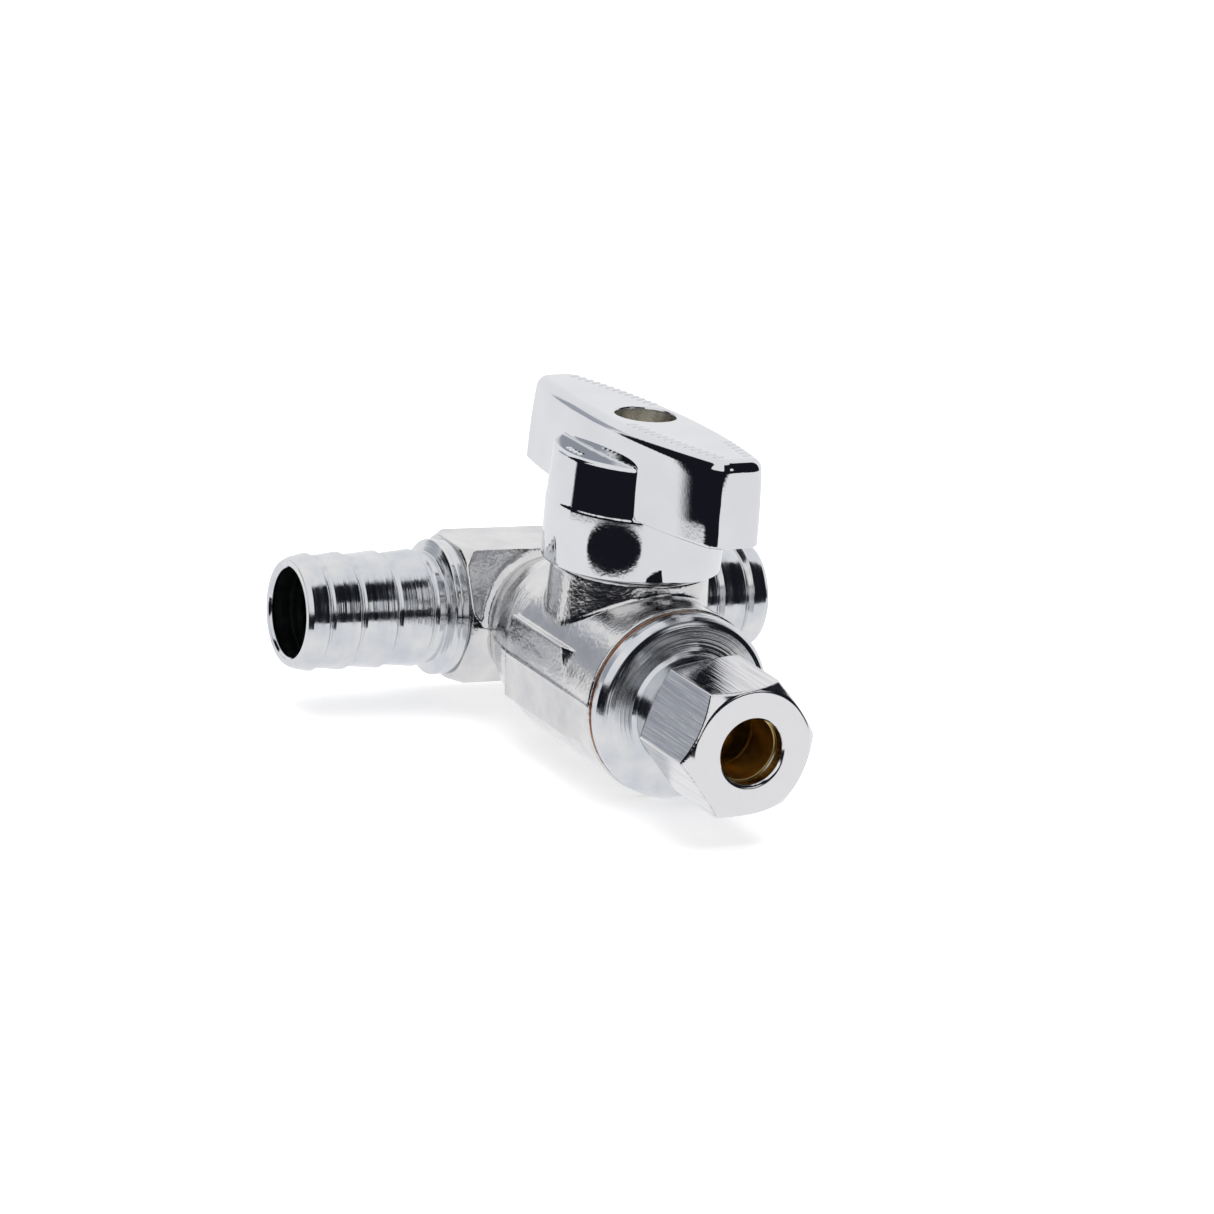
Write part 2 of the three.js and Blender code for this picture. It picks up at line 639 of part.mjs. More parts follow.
const pieces = {
  tee_body: [teeBody(), finishes.forgedChrome],
  outlet_adapter: [outletAdapter(), finishes.brightChrome],
  adapter_seal_ring: [sealRing(), finishes.copper],
  compression_nut: [compressionNut(), finishes.brightChrome],
  compression_sleeve: [compressionSleeve(), finishes.brass],
  ball: [ball(), finishes.brightChrome],
  ball_seat_inlet: [seat(1), finishes.whitePolymer],
  ball_seat_outlet: [seat(-1), finishes.whitePolymer],
  stem: [stem(), finishes.brass],
  stem_thrust_washer: [thrustWasher(), finishes.whitePolymer],
  stem_o_ring_lower: [oRing(O_RING_HEIGHTS[0]), finishes.blackRubber],
  stem_o_ring_upper: [oRing(O_RING_HEIGHTS[1]), finishes.blackRubber],
  handle: [handle(), finishes.brightChrome],
  handle_screw: [handleScrew(), finishes.steel],
  handle_lock_washer: [lockWasher(), finishes.steel],
};

const valve = new THREE.Group();
valve.position.z = BALL_HEIGHT;
for (const [name, [solid, finish]] of Object.entries(pieces)) {
  const mesh = new THREE.Mesh(toGeometry(solid), new THREE.MeshStandardMaterial(finish));
  mesh.name = name;
  valve.add(mesh);
}

const group = new THREE.Group();
group.add(valve);

export default group;
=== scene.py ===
"""Tee ball stop valve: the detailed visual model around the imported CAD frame.

Shapes are drawn in millimetres around the centre of the ball, with +X along the barbed run,
-Y out of the tube outlet and +Z up the stem, as in the CAD, and go to metres in add_mesh().
"""

import math

import bmesh
import bpy
import numpy as np
from mathutils import Matrix, Vector


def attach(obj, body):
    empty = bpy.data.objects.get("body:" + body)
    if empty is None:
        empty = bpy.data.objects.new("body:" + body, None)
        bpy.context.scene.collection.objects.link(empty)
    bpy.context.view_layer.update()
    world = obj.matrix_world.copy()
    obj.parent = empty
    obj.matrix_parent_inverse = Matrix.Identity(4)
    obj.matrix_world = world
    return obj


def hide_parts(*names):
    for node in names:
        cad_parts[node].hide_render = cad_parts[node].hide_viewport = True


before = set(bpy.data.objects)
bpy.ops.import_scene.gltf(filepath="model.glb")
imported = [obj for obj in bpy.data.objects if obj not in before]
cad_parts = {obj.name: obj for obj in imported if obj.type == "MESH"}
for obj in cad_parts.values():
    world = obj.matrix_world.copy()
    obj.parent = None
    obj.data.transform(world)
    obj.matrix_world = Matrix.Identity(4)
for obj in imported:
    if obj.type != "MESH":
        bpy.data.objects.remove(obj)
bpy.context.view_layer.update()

MM = 0.001
BALL_HEIGHT = 9.4

# Meshing. A slanted field is scaled back to about true distance by its own ..._SCALE.
CORNER_STEPS = 4
NEARLY_STRAIGHT = 3.05
LONGEST_CORNER = 0.45
PULL_ROUNDS = 3
PULL_NUDGE = 0.01
PULL_LIMIT = 0.4
FLATTEST_SLOPE = 0.2
FINE_FACETS = 160
SMALL_FACETS = 96
TEE_STEP = 0.16
HANDLE_STEP = 0.14
NUT_STEP = 0.12
TEE_BOX = ((-9.9, -12.3, -9.7), (9.9, 31.4, 15.0))
TURNED_EDGE = 0.12

# Radii of rounded edges and of filled corners
EDGE_FINE = 0.12
EDGE_CRISP = 0.15
EDGE_EASED = 0.2
EDGE_SOFT = 0.25
PAD_CORNER = 0.3
HUB_TOP_EDGE = 0.4
RUN_FILLET = 1.2
TOWER_FILLET = 0.3
HANDLE_FILLET = 0.12

# Barbed run
RUN_SETBACK = 22.85
RUN_HALF = 26.7
RUN_BORE = 4.6
BARB_CREST = 6.1
BARB_ROOT = 5.45
BARB_LAND = 5.85
BARB_GROOVES = (12.7, 16.75, 20.8, 24.3)
BARB_LEAD = 0.55
BARB_FALL = 0.15
BARB_RISE = 0.3
BARB_START = 8.8
COLLAR_RADIUS = 7.05
COLLAR_OUTER = 10.9
COLLAR_BEVEL = 0.3
COLLAR_SCRIBE = 0.07
HEX_FLATS = 14.3
HEX_HALF = 9.2
HEX_CHAMFER = 0.3
HEX_CHAMFER_SLOPE = 0.714
HEX_CHAMFER_SCALE = 0.81

# Forged body. The barrel's profile is (height along Y, radius).
BARREL_FRONT = -12.0
BARREL_SCALE = 0.97
BARREL_PROFILE = ((-12.0, 9.65), (5.5, 9.65), (8.0, 9.45), (10.5, 8.95), (13.0, 8.15), (15.5, 7.25),
                  (17.5, 6.6), (19.5, 6.15), (22.85, 6.0))
NECK_RADIUS = 7.95
NECK_TOP = 10.85
BOSS_RADIUS = 6.2
BOSS_TOP = 14.7
PAD_X = 9.62
PAD_TOP = 4.0
PAD_FRONT = -6.6
PAD_BACK = 6.6
PAD_BOTTOM = -4.6
PAD_DRAFT = 0.06
PAD_RAMP = 0.26
PAD_RAMP_LENGTH = 3.0
PAD_RAMP_SCALE = 0.92
PAD_SLANT = 0.6
PAD_SLANT_START = 0.6
FLASH_HEIGHT = 0.1
FLASH_HALF = 0.2
NECK_DRAFT = 0.055
THREAD_BORE = 8.3
THREAD_BORE_BACK = -5.0
CHAMBER = 7.0
CHAMBER_BACK = 5.2
SEAT_POCKET = 5.75
SEAT_POCKET_BACK = 7.3
WATERWAY = 2.6

# Stem
STEM_BORE = 3.1
STEM_SHELF = 8.85
STEM_POCKET = 4.2

# Handle
HUB_BOTTOM = 11.17
HUB_RADIUS = 9.13
HUB_CROWN_HEIGHT = 14.4
HUB_SLOPE = 0.0157
HUB_CROWN = 0.006
HUB_TOP = 22.7
HUB_UPPER_RADIUS = 9.08
HUB_DRAFT = 0.045
PARTING = 17.6
LEVER_TOP = 26.27
LEVER_NEAR = -18.95
LEVER_FAR = 18.0
LEVER_HALF = 5.1
LEVER_NEAR_HALF = 3.0
LEVER_FAR_HALF = 2.7
LEVER_EDGE = 1.1
LEVER_CORNER = 1.4
LEVER_CROWN = 0.016
LEVER_CROWN_START = 19.5
LEVER_END_DRAFT = 0.05
LEVER_SKEW = 4.4
LEVER_OFFSET = -0.25
LEVER_SWELL = 0.1
LEVER_SCALE = 0.97
RECESS_RADIUS = 3.09
RECESS_FLOOR = 20.9
RECESS_RIM = 0.4
CAVITY_TOP = 15.3
CAVITY_RADIUS = 7.1
SOCKET_HALF = 2.22
SOCKET_RADIUS = 3.12
SOCKET_TOP = 19.9

# Outlet
NUT_FLATS = 12.7
NUT_TURN = 9.0
NUT_BACK = -18.04
NUT_FRONT = -28.13
NUT_FACE = 6.23
NUT_FRONT_SCALE = 0.72
NUT_BACK_SLOPE = 2.25
NUT_BACK_SCALE = 0.406
NUT_HOLE = 3.3
NUT_HOLE_BEVEL = 0.25
NUT_CONE_FRONT = -26.75
NUT_CONE_MIDDLE = (-25.4, 4.4)
NUT_CONE_BACK = -25.0
NUT_THREAD = 5.3
NUT_THREAD_FRONT = -24.6
NUT_THREAD_DEPTH = 0.25
THREAD_PITCH = 1.058
THREAD_DEPTH = 0.28
ADAPTER_THREAD = 5.12
ADAPTER_THREAD_BACK = -17.75
ADAPTER_FRONT = -22.6
ADAPTER_MOUTH = 4.25
ADAPTER_CORE = 4.6
ADAPTER_BRASS = 4.1
THREAD_ROWS_PER_TURN = 14

# Closed profiles of (height along Y, radius)
ADAPTER_FLANGE = ((-17.6, 4.85), (-17.35, 4.85), (-17.2, 5.75), (-15.0, 5.75), (-14.6, 6.1), (-14.42, 7.4),
                  (-14.28, 8.5), (-14.05, 9.0), (-13.7, 9.3), (-13.45, 9.48), (-12.42, 9.48), (-12.42, 8.0),
                  (-5.7, 8.0), (-5.3, 7.6), (-5.3, 5.8), (-7.3, 5.8), (-7.3, WATERWAY), (-17.4, WATERWAY),
                  (-17.4, NUT_HOLE), (ADAPTER_FRONT + 1.0, NUT_HOLE), (ADAPTER_FRONT + 0.1, 3.75))
SEAL_RING = ((-12.37, 8.42), (-12.37, 9.36), (-12.03, 9.36), (-12.03, 8.42))
SLEEVE = ((-26.45, 3.2), (-26.45, 3.42), (-25.2, 4.1), (-22.9, 4.1), (-22.0, 3.5), (-22.0, 3.2))

# Stops and fasteners. The screw and washer profiles are (height along Z, radius).
LUG_ANGLE = 215.0
LUG_HALF_ANGLE = 18.0
LUG_RADIUS = 6.85
LUG_TOP = 13.4
STOP_RIB_RADIUS = 6.45
STOP_CLEARANCE = 1.5
STOP_MEAN_RADIUS = 6.0
HANDLE_TRAVEL = 90.0
SCREW_HOLE = 1.75
SCREW_RADIUS = 1.42
SCREW_TIP = ((15.6, 0.02), (15.6, 1.0), (16.0, 1.3))
SCREW_HEAD = ((21.6, 1.42), (21.6, 2.62), (22.3, 2.62), (22.85, 2.3), (23.08, 1.7), (23.1, 0.02))
SCREW_THREAD = (16.05, 21.25, 0.7, 0.28, 1.0)
SCREW_ROWS = (16.1, 21.2, SCREW_RADIUS, 0.05)
CROSS_ARM = 1.45
CROSS_HALF = 0.3
CROSS_TOP = 24.0
CROSS_FLOOR = 22.1
CROSS_TAPER = 0.7
LOCK_WASHER = ((20.98, 1.62), (20.98, 2.63), (21.5, 2.63), (21.5, 1.62))

# Raised bars. A grip row is (side of the lever, start, end), and the hub's angles are in degrees.
GRIP_BAR_PITCH = 1.0
GRIP_BAR_INSET = 1.75
GRIP_BAR_ROWS = ((-1, -16.5, -2.5), (1, 3.5, 16.0), (1, -16.5, -11.0))
GRIP_BAR_HALF_LONG = 0.55
GRIP_BAR_TILT = 0.25
HUB_BAR_RADIUS = 7.6
HUB_BAR_ANGLES = (172.0, 178.0, 184.0, 190.0)
HUB_BAR_HALF_LONG = 0.4
BAR_HALF_WIDE = 0.16
BAR_TAPER = 0.1
BAR_SINK = 0.02
BAR_HEIGHT = 0.12

# Camera and studio: angles in degrees, azimuth from -Y towards +X, windows as (left, right, low, high)
CAMERA_AZIMUTH = -28.458
CAMERA_ELEVATION = 15.603
CAMERA_ROLL = 5.771
CAMERA_LENS = 140.72
CAMERA_PLACE = (-220.41, -402.70, 143.67)
SENSOR_WIDTH = 36.0
FAR_CLIP = 20
SIDE_SOFTNESS = 2.0
LOW_SOFTNESS = 0.5
HIGH_SOFTNESS = 3.0
DARK_PATCHES = ((-118.0, -18.0, -14.4, 9.0), (-24.0, 92.0, -6.0, 66.0))
WEDGE_WINDOW = (-137.0, -104.0, -14.4, 45.0)
WEDGE_START = -133.3
WEDGE_SLOPE = 1.92
WEDGE_SOFTNESS = 1.5
BLOB_CENTRE = (-52.0, -16.55)
BLOB_REACH = (35.0, 2.2)
BLOB_EDGE = (1.1, 0.95)
STRIP_LIGHT = (14.0, 35.5, 12.0, 30.0)
GREY_WALL = (-162.0, -140.0, 2.0, 22.0)
TENT_WHITE = (0.94, 0.94, 0.955, 1)
WALL_GREY = (0.42, 0.44, 0.49, 1)
OPENING_BLACK = (0.010, 0.011, 0.016, 1)
SOFTBOX_POWER = 9.0
SOFTBOX_WIDTH = 1.2
SOFTBOX_PLACE = (0.25, 0.35, 1.1)
FLOOR_WIDTH = 6
FLOOR_WHITE = (0.93, 0.93, 0.93, 1)
FLOOR_GLOW = 0.5
FLOOR_HEIGHT = -0.1


# ------------------------------------------------------------------ meshes

def add_mesh(name, vertices, faces, material):
    """A smooth-shaded mesh object from points in millimetres about the centre of the ball."""
    points = (np.asarray(vertices, float) + (0, 0, BALL_HEIGHT)) * MM
    faces = np.asarray(faces, int)
    sides = faces.shape[1]
    mesh = bpy.data.meshes.new(name)
    mesh.vertices.add(len(points))
    mesh.vertices.foreach_set("co", points.ravel())
    mesh.loops.add(faces.size)
    mesh.loops.foreach_set("vertex_index", faces.ravel())
    mesh.polygons.add(len(faces))
    mesh.polygons.foreach_set("loop_start", np.arange(0, faces.size, sides))
    mesh.update(calc_edges=True)
    mesh.validate()
    mesh.shade_smooth()
    mesh.materials.append(material)
    piece = bpy.data.objects.new(name, mesh)
    bpy.context.scene.collection.objects.link(piece)
    return piece


def place(piece, body, slot, *nodes):
    """Rides a piece on its body and has it stand for the CAD nodes."""
    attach(piece, body)
    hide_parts(*nodes)


def soften(profile, radius):
    """Rounds every corner of a closed profile."""
    rounded = []
    for i, point in enumerate(profile):
        corner = np.array(point, float)
        before = np.array(profile[i - 1], float) - corner
        after = np.array(profile[(i + 1) % len(profile)], float) - corner
        before_length, after_length = np.linalg.norm(before), np.linalg.norm(after)
        before, after = before / before_length, after / after_length
        opening = math.acos(float(np.clip(before @ after, -1, 1)))
        if opening > NEARLY_STRAIGHT:
            rounded.append(tuple(corner))
            continue
        longest = LONGEST_CORNER * before_length, LONGEST_CORNER * after_length
        reach = min(radius / math.tan(opening / 2), *longest)
        start, end = corner + before * reach, corner + after * reach
        for s in np.linspace(0, 1, CORNER_STEPS + 1):
            rounded.append(tuple((1 - s) ** 2 * start + 2 * s * (1 - s) * corner + s * s * end))
    return rounded


def turned(name, axis, profile, material, facets=128, centre=(0, 0, 0), thread=None):
    """Revolves a closed (height, radius) profile. A thread is (low, high, pitch, depth, core):
    rows between those heights and outside the core rise and fall along a right-hand helix."""
    heights, radii = np.array(profile).T
    turn = np.arange(facets) / facets
    radius = np.repeat(radii[:, None], facets, 1)
    height = np.repeat(heights[:, None], facets, 1)
    if thread:
        low, high, pitch, depth, core = thread
        phase = height / pitch + turn[None, :]
        tooth = 1 - 2 * np.abs(phase - np.floor(phase) - 0.5)
        radius = radius - depth * tooth * ((height > low) & (height < high) & (radius > core))
    across, up = radius * np.cos(math.tau * turn), radius * np.sin(math.tau * turn)
    order = {"x": (height, across, up), "y": (up, height, across), "z": (across, up, height)}[axis]
    vertices = np.stack(order, -1).reshape(-1, 3) + centre
    row, column = np.meshgrid(np.arange(len(profile)), np.arange(facets), indexing="ij")
    next_row, next_column = (row + 1) % len(profile), (column + 1) % facets
    faces = np.stack([row * facets + column, row * facets + next_column,
                      next_row * facets + next_column, next_row * facets + column], -1)
    faces = faces.reshape(-1, 4)
    area = 0.5 * np.sum(heights * np.roll(radii, -1) - np.roll(heights, -1) * radii)
    if area < 0:
        faces = faces[:, ::-1]
    piece = add_mesh(name, vertices, faces, material)
    piece.modifiers.new("even normals", "WEIGHTED_NORMAL").keep_sharp = False
    return piece


# ------------------------------------------------------------------ distance fields

def meet(a, b, radius):
    """Intersection of two fields, with its edge rounded."""
    u, v = np.maximum(radius + a, 0), np.maximum(radius + b, 0)
    return np.minimum(-radius, np.maximum(a, b)) + np.sqrt(u * u + v * v)


def merge(a, b, radius):
    """Union of two fields, with its inner corner filled."""
    return -meet(-a, -b, radius)


def cut(a, b, radius):
    """Field a with b taken away."""
    return meet(a, -b, radius)


def rod(u, v, radius):
    """Round bar along the axis that u and v cross."""
    return np.sqrt(u * u + v * v) - radius


def slab(value, low, high):
    """Everything between two parallel planes."""
    return np.maximum(low - value, value - high)


def field_mesh(name, field, low, high, step, material):
    """Meshes the zero level of a field with quads, one vertex to a crossed cell, then pulls the
    vertices onto the level itself."""
    axes = [np.arange(a, b + step, step, dtype=np.float32) for a, b in zip(low, high)]
    grid = np.meshgrid(*axes, indexing="ij", sparse=True)
    depth = np.array(np.broadcast_to(field(*grid), [len(a) for a in axes]), np.float32)
    inside = depth < 0
    cells = [n - 1 for n in inside.shape]
    corners = [(i, j, k) for i in (0, 1) for j in (0, 1) for k in (0, 1)]
    filled = sum(inside[i:i + cells[0], j:j + cells[1], k:k + cells[2]].astype(np.int8)
                 for i, j, k in corners)
    crossed = (filled > 0) & (filled < 8)
    index = np.full(crossed.shape, -1, np.int64)
    index[crossed] = np.arange(crossed.sum())
    cell = np.stack(np.nonzero(crossed), -1)
    total, count = np.zeros((len(cell), 3)), np.zeros(len(cell))
    for a in corners:
        for axis in range(3):
            if a[axis]:
                continue
            b = tuple(c + (i == axis) for i, c in enumerate(a))
            at_a, at_b = (depth[tuple((cell + c).T)] for c in (a, b))
            hit = (at_a < 0) != (at_b < 0)
            along = np.where(hit, at_a / np.where(hit, at_a - at_b, 1), 0)
            point = np.array(a) + along[:, None] * (np.array(b) - a)
            total += point * hit[:, None]
            count += hit
    points = (cell + total / count[:, None]) * step + np.array([a[0] for a in axes])
    for _ in range(PULL_ROUNDS):
        value = field(*points.T)
        slope = np.stack([(field(*(points + d).T) - field(*(points - d).T)) / (2 * PULL_NUDGE)
                          for d in PULL_NUDGE * np.eye(3)], -1)
        move = -value[:, None] * slope / np.maximum((slope ** 2).sum(1), FLATTEST_SLOPE)[:, None]
        points += np.clip(move, -PULL_LIMIT * step, PULL_LIMIT * step)
    quads = []
    for axis in range(3):
        one, two = (axis + 1) % 3, (axis + 2) % 3
        lower = np.take(inside, range(inside.shape[axis] - 1), axis)
        upper = np.take(inside, range(1, inside.shape[axis]), axis)
        at = np.stack(np.nonzero(lower != upper), -1)
        at = at[(at[:, one] > 0) & (at[:, one] < cells[one])]
        at = at[(at[:, two] > 0) & (at[:, two] < cells[two])]
        ring = []
        for du, dv in ((-1, -1), (0, -1), (0, 0), (-1, 0)):
            near = at.copy()
            near[:, one] += du
            near[:, two] += dv
            ring.append(index[tuple(near.T)])
        quad = np.stack(ring, -1)
        leaving = lower[tuple(at.T)]
        quads += [quad[leaving], quad[~leaving][:, ::-1]]
    return add_mesh(name, points, np.concatenate(quads), material)


# ------------------------------------------------------------------ tee body

def hex_across(u, v, flats):
    """Hexagonal bar with corners on the u axis."""
    u, v = np.abs(u), np.abs(v)
    return np.maximum(v, u * math.cos(math.pi / 6) + v * math.sin(math.pi / 6)) - flats / 2


def flash_line(z):
    """Low ridge that the trimmed forging flash leaves at the parting line."""
    return FLASH_HEIGHT * np.exp(-(z / FLASH_HALF) ** 2)


def barrel_field(x, y, z):
    """Barrel along Y, drawn in at the back to meet the run."""
    heights, radii = zip(*BARREL_PROFILE)
    side = BARREL_SCALE * rod(x, z, np.interp(y, heights, radii) + flash_line(z))
    return meet(side, slab(y, BARREL_FRONT, RUN_SETBACK), EDGE_CRISP)


def run_block_field(x, y, z):
    """Hexagonal block of the run, chamfered at both ends."""
    across = y - RUN_SETBACK
    hexagon = hex_across(across, z, HEX_FLATS)
    end_cone = rod(across, z, HEX_FLATS / 2 + HEX_CHAMFER) - HEX_CHAMFER_SLOPE * (HEX_HALF - np.abs(x))
    chamfered = meet(hexagon, HEX_CHAMFER_SCALE * end_cone, EDGE_FINE)
    return meet(chamfered, np.abs(x) - HEX_HALF, EDGE_CRISP)


def pad_field(x, y, z):
    """Flat forged pad on each side of the barrel, drafted both ways from the parting line, with
    a ramp down to the barrel in front."""
    length = slab(y, PAD_FRONT - PAD_RAMP_LENGTH, PAD_BACK)
    outline = meet(length, slab(z, PAD_BOTTOM, PAD_TOP), PAD_CORNER)
    face = np.abs(x) - PAD_X + PAD_DRAFT * np.abs(z) - flash_line(z)
    front = PAD_FRONT + PAD_SLANT * np.maximum(0, z - PAD_SLANT_START)
    ramp = PAD_RAMP_SCALE * face + PAD_RAMP * (front - y)
    return meet(outline, np.maximum(face, ramp), EDGE_FINE)


def tower_field(x, y, z):
    """Neck under the handle, with the stem's boss and the stop lug on it."""
    drafted = rod(x, y, NECK_RADIUS + NECK_DRAFT * (NECK_TOP - z))
    neck = meet(drafted, slab(z, 0, NECK_TOP), EDGE_SOFT)
    boss = meet(rod(x, y, BOSS_RADIUS), slab(z, 0, BOSS_TOP), EDGE_SOFT)
    lug_angle, lug_half = math.radians(LUG_ANGLE), math.radians(LUG_HALF_ANGLE)
    along = x * math.cos(lug_angle) + y * math.sin(lug_angle)
    beside = np.abs(y * math.cos(lug_angle) - x * math.sin(lug_angle))
    wedge = beside * math.cos(lug_half) - along * math.sin(lug_half)
    lug = meet(rod(x, y, LUG_RADIUS), slab(z, NECK_TOP - 1, LUG_TOP), EDGE_EASED)
    lug = meet(lug, wedge, EDGE_EASED)
    return np.minimum(merge(neck, boss, EDGE_EASED), lug)


def body_hollows(x, y, z):
    """Every bore of the body."""
    run = rod(y - RUN_SETBACK, z, RUN_BORE)
    thread = np.maximum(rod(x, z, THREAD_BORE), y - THREAD_BORE_BACK)
    chamber = np.maximum(rod(x, z, CHAMBER), y - CHAMBER_BACK)
    pocket = np.maximum(rod(x, z, SEAT_POCKET), y - SEAT_POCKET_BACK)
    inlet = np.maximum(rod(x, z, WATERWAY), y - RUN_SETBACK)
    stem = np.maximum(rod(x, y, STEM_BORE), -z)
    stem_pocket = np.maximum(rod(x, y, STEM_POCKET), slab(z, 0, STEM_SHELF))
    hollow = run
    for bore in (thread, chamber, pocket, inlet, stem, stem_pocket):
        hollow = np.minimum(hollow, bore)
    return hollow


def tee_field(x, y, z):
    """Whole forging, with its small flat underneath."""
    solid = merge(barrel_field(x, y, z), run_block_field(x, y, z), RUN_FILLET)
    solid = merge(solid, pad_field(x, y, z), EDGE_CRISP)
    solid = merge(solid, tower_field(x, y, z), TOWER_FILLET)
    solid = cut(solid, body_hollows(x, y, z), EDGE_FINE)
    return meet(solid, -BALL_HEIGHT - z, EDGE_EASED)


def barb_profile():
    """Outside of one barbed end, from inside the hex block outwards."""
    neck = COLLAR_RADIUS - COLLAR_BEVEL
    profile = [(BARB_START, neck), (HEX_HALF + 0.08, neck),
               (HEX_HALF + 0.22, COLLAR_RADIUS), (COLLAR_OUTER - 0.75, COLLAR_RADIUS),
               (COLLAR_OUTER - 0.68, COLLAR_RADIUS - COLLAR_SCRIBE), (COLLAR_OUTER - 0.6, COLLAR_RADIUS),
               (COLLAR_OUTER - 0.15, COLLAR_RADIUS), (COLLAR_OUTER, neck),
               (COLLAR_OUTER + 0.35, BARB_LAND - 0.1)]
    for groove in BARB_GROOVES:
        tail = BARB_LAND if groove == BARB_GROOVES[0] else BARB_CREST - 0.3
        profile += [(groove - BARB_LEAD, tail), (groove - BARB_FALL, BARB_ROOT),
                    (groove + BARB_RISE, BARB_CREST)]
    return profile + [(RUN_HALF - 0.5, BARB_ROOT + 0.3), (RUN_HALF, BARB_ROOT),
                      (RUN_HALF, RUN_BORE + 0.25), (RUN_HALF - 0.25, RUN_BORE)]


def make_tee_body(materials):
    """Forging, and the two turned ends that are one piece with it."""
    forging = field_mesh("tee_forging", tee_field, *TEE_BOX, TEE_STEP, materials["forged"])
    place(forging, "valve", "forged_chrome", "tee_body")
    for side, name in ((1, "barbed_end_right"), (-1, "barbed_end_left")):
        profile = barb_profile() + [(BARB_START, RUN_BORE)]
        profile = [(side * height, radius) for height, radius in soften(profile, TURNED_EDGE)]
        barbs = turned(name, "x", profile, materials["turned_run"], centre=(0, RUN_SETBACK, 0))
        place(barbs, "valve", "turned_chrome", "tee_body")


# ------------------------------------------------------------------ handle

def lever_half_width(along):
    """Half width of the boat-shaped lever at a distance along it."""
    start, end = LEVER_NEAR + LEVER_CORNER, LEVER_FAR - LEVER_CORNER
    t = (along - start) / (end - start)
    bulge = 2 * LEVER_HALF - (LEVER_NEAR_HALF + LEVER_FAR_HALF) / 2
    curve = (1 - t) ** 2 * LEVER_NEAR_HALF + 2 * t * (1 - t) * bulge + t ** 2 * LEVER_FAR_HALF
    return curve + LEVER_SWELL


def along_lever(x, y):
    """Coordinates across and along the skewed lever."""
    skew = math.radians(LEVER_SKEW)
    x = x - LEVER_OFFSET
    return x * math.cos(skew) + y * math.sin(skew), y * math.cos(skew) - x * math.sin(skew)


def lever_field(x, y, z):
    """Boat-shaped lever, drawn in towards its top."""
    across, along = along_lever(x, y)
    crown = 0.5 * LEVER_CROWN * np.maximum(0, z - LEVER_CROWN_START) ** 2
    side = LEVER_SCALE * (np.abs(across) - lever_half_width(along) + crown)
    drawn_in = LEVER_END_DRAFT * (z - PARTING)
    ends = slab(along, LEVER_NEAR + drawn_in, LEVER_FAR - drawn_in)
    outline = meet(side, ends, LEVER_CORNER)
    return meet(meet(outline, z - LEVER_TOP, LEVER_EDGE), PARTING - z, EDGE_CRISP)


def hub_field(x, y, z):
    """Round hub, crowned below the parting line and drafted above it."""
    rise = z - HUB_CROWN_HEIGHT
    crowned = rod(x, y, HUB_RADIUS + HUB_SLOPE * rise - 0.5 * HUB_CROWN * rise * rise)
    lower = meet(crowned, slab(z, HUB_BOTTOM, PARTING), EDGE_EASED)
    drafted = rod(x, y, HUB_UPPER_RADIUS - HUB_DRAFT * (z - PARTING))
    upper = meet(drafted, slab(z, PARTING - 0.5, HUB_TOP), HUB_TOP_EDGE)
    return np.minimum(lower, upper)


def handle_hollows(x, y, z):
    """Cavity under the hub with its stop window, stem socket, screw hole and recess."""
    core = np.maximum(rod(x, y, STOP_RIB_RADIUS), slab(z, HUB_BOTTOM - 1, CAVITY_TOP))
    lip = np.maximum(rod(x, y, CAVITY_RADIUS), slab(z, HUB_BOTTOM - 1, HUB_BOTTOM + 0.5))
    middle = math.radians(LUG_ANGLE + HANDLE_TRAVEL / 2)
    half = math.radians(LUG_HALF_ANGLE + STOP_CLEARANCE + HANDLE_TRAVEL / 2)
    beside = y * math.cos(middle) - x * math.sin(middle)
    away = np.arctan2(beside, x * math.cos(middle) + y * math.sin(middle))
    window = np.maximum(rod(x, y, CAVITY_RADIUS), STOP_MEAN_RADIUS * (np.abs(away) - half))
    window = np.maximum(window, slab(z, HUB_BOTTOM - 1, CAVITY_TOP))
    socket = np.maximum(rod(x, y, SOCKET_RADIUS), np.abs(x) - SOCKET_HALF)
    socket = np.maximum(socket, slab(z, CAVITY_TOP - 1, SOCKET_TOP))
    screw_hole = np.maximum(rod(x, y, SCREW_HOLE), slab(z, SOCKET_TOP - 1, RECESS_FLOOR + 1))
    recess = np.maximum(rod(x, y, RECESS_RADIUS), RECESS_FLOOR - z)
    hollow = np.minimum(np.minimum(core, lip), np.minimum(window, socket))
    return np.minimum(hollow, np.minimum(screw_hole, recess))


def handle_field(x, y, z):
    """Whole handle casting."""
    solid = merge(hub_field(x, y, z), lever_field(x, y, z), HANDLE_FILLET)
    return cut(solid, handle_hollows(x, y, z), EDGE_EASED)


def raised_bars(places, half_long):
    """Small raised bars with drawn-in tops. Each place is (x, y, base height, direction)."""
    vertices, faces = [], []
    for x, y, base_height, direction in places:
        base = len(vertices)
        for top in (0, 1):
            long, wide = half_long - BAR_TAPER * top, BAR_HALF_WIDE - BAR_TAPER * top
            for du, dv in ((-1, -1), (1, -1), (1, 1), (-1, 1)):
                u, v = du * long, dv * wide
                vertices.append((x + u * math.cos(direction) - v * math.sin(direction),
                                 y + u * math.sin(direction) + v * math.cos(direction),
                                 base_height - BAR_SINK + BAR_HEIGHT * top))
        faces.append((base + 4, base + 5, base + 6, base + 7))
        faces += [(base + i, base + (i + 1) % 4, base + 4 + (i + 1) % 4, base + 4 + i) for i in range(4)]
    return vertices, faces


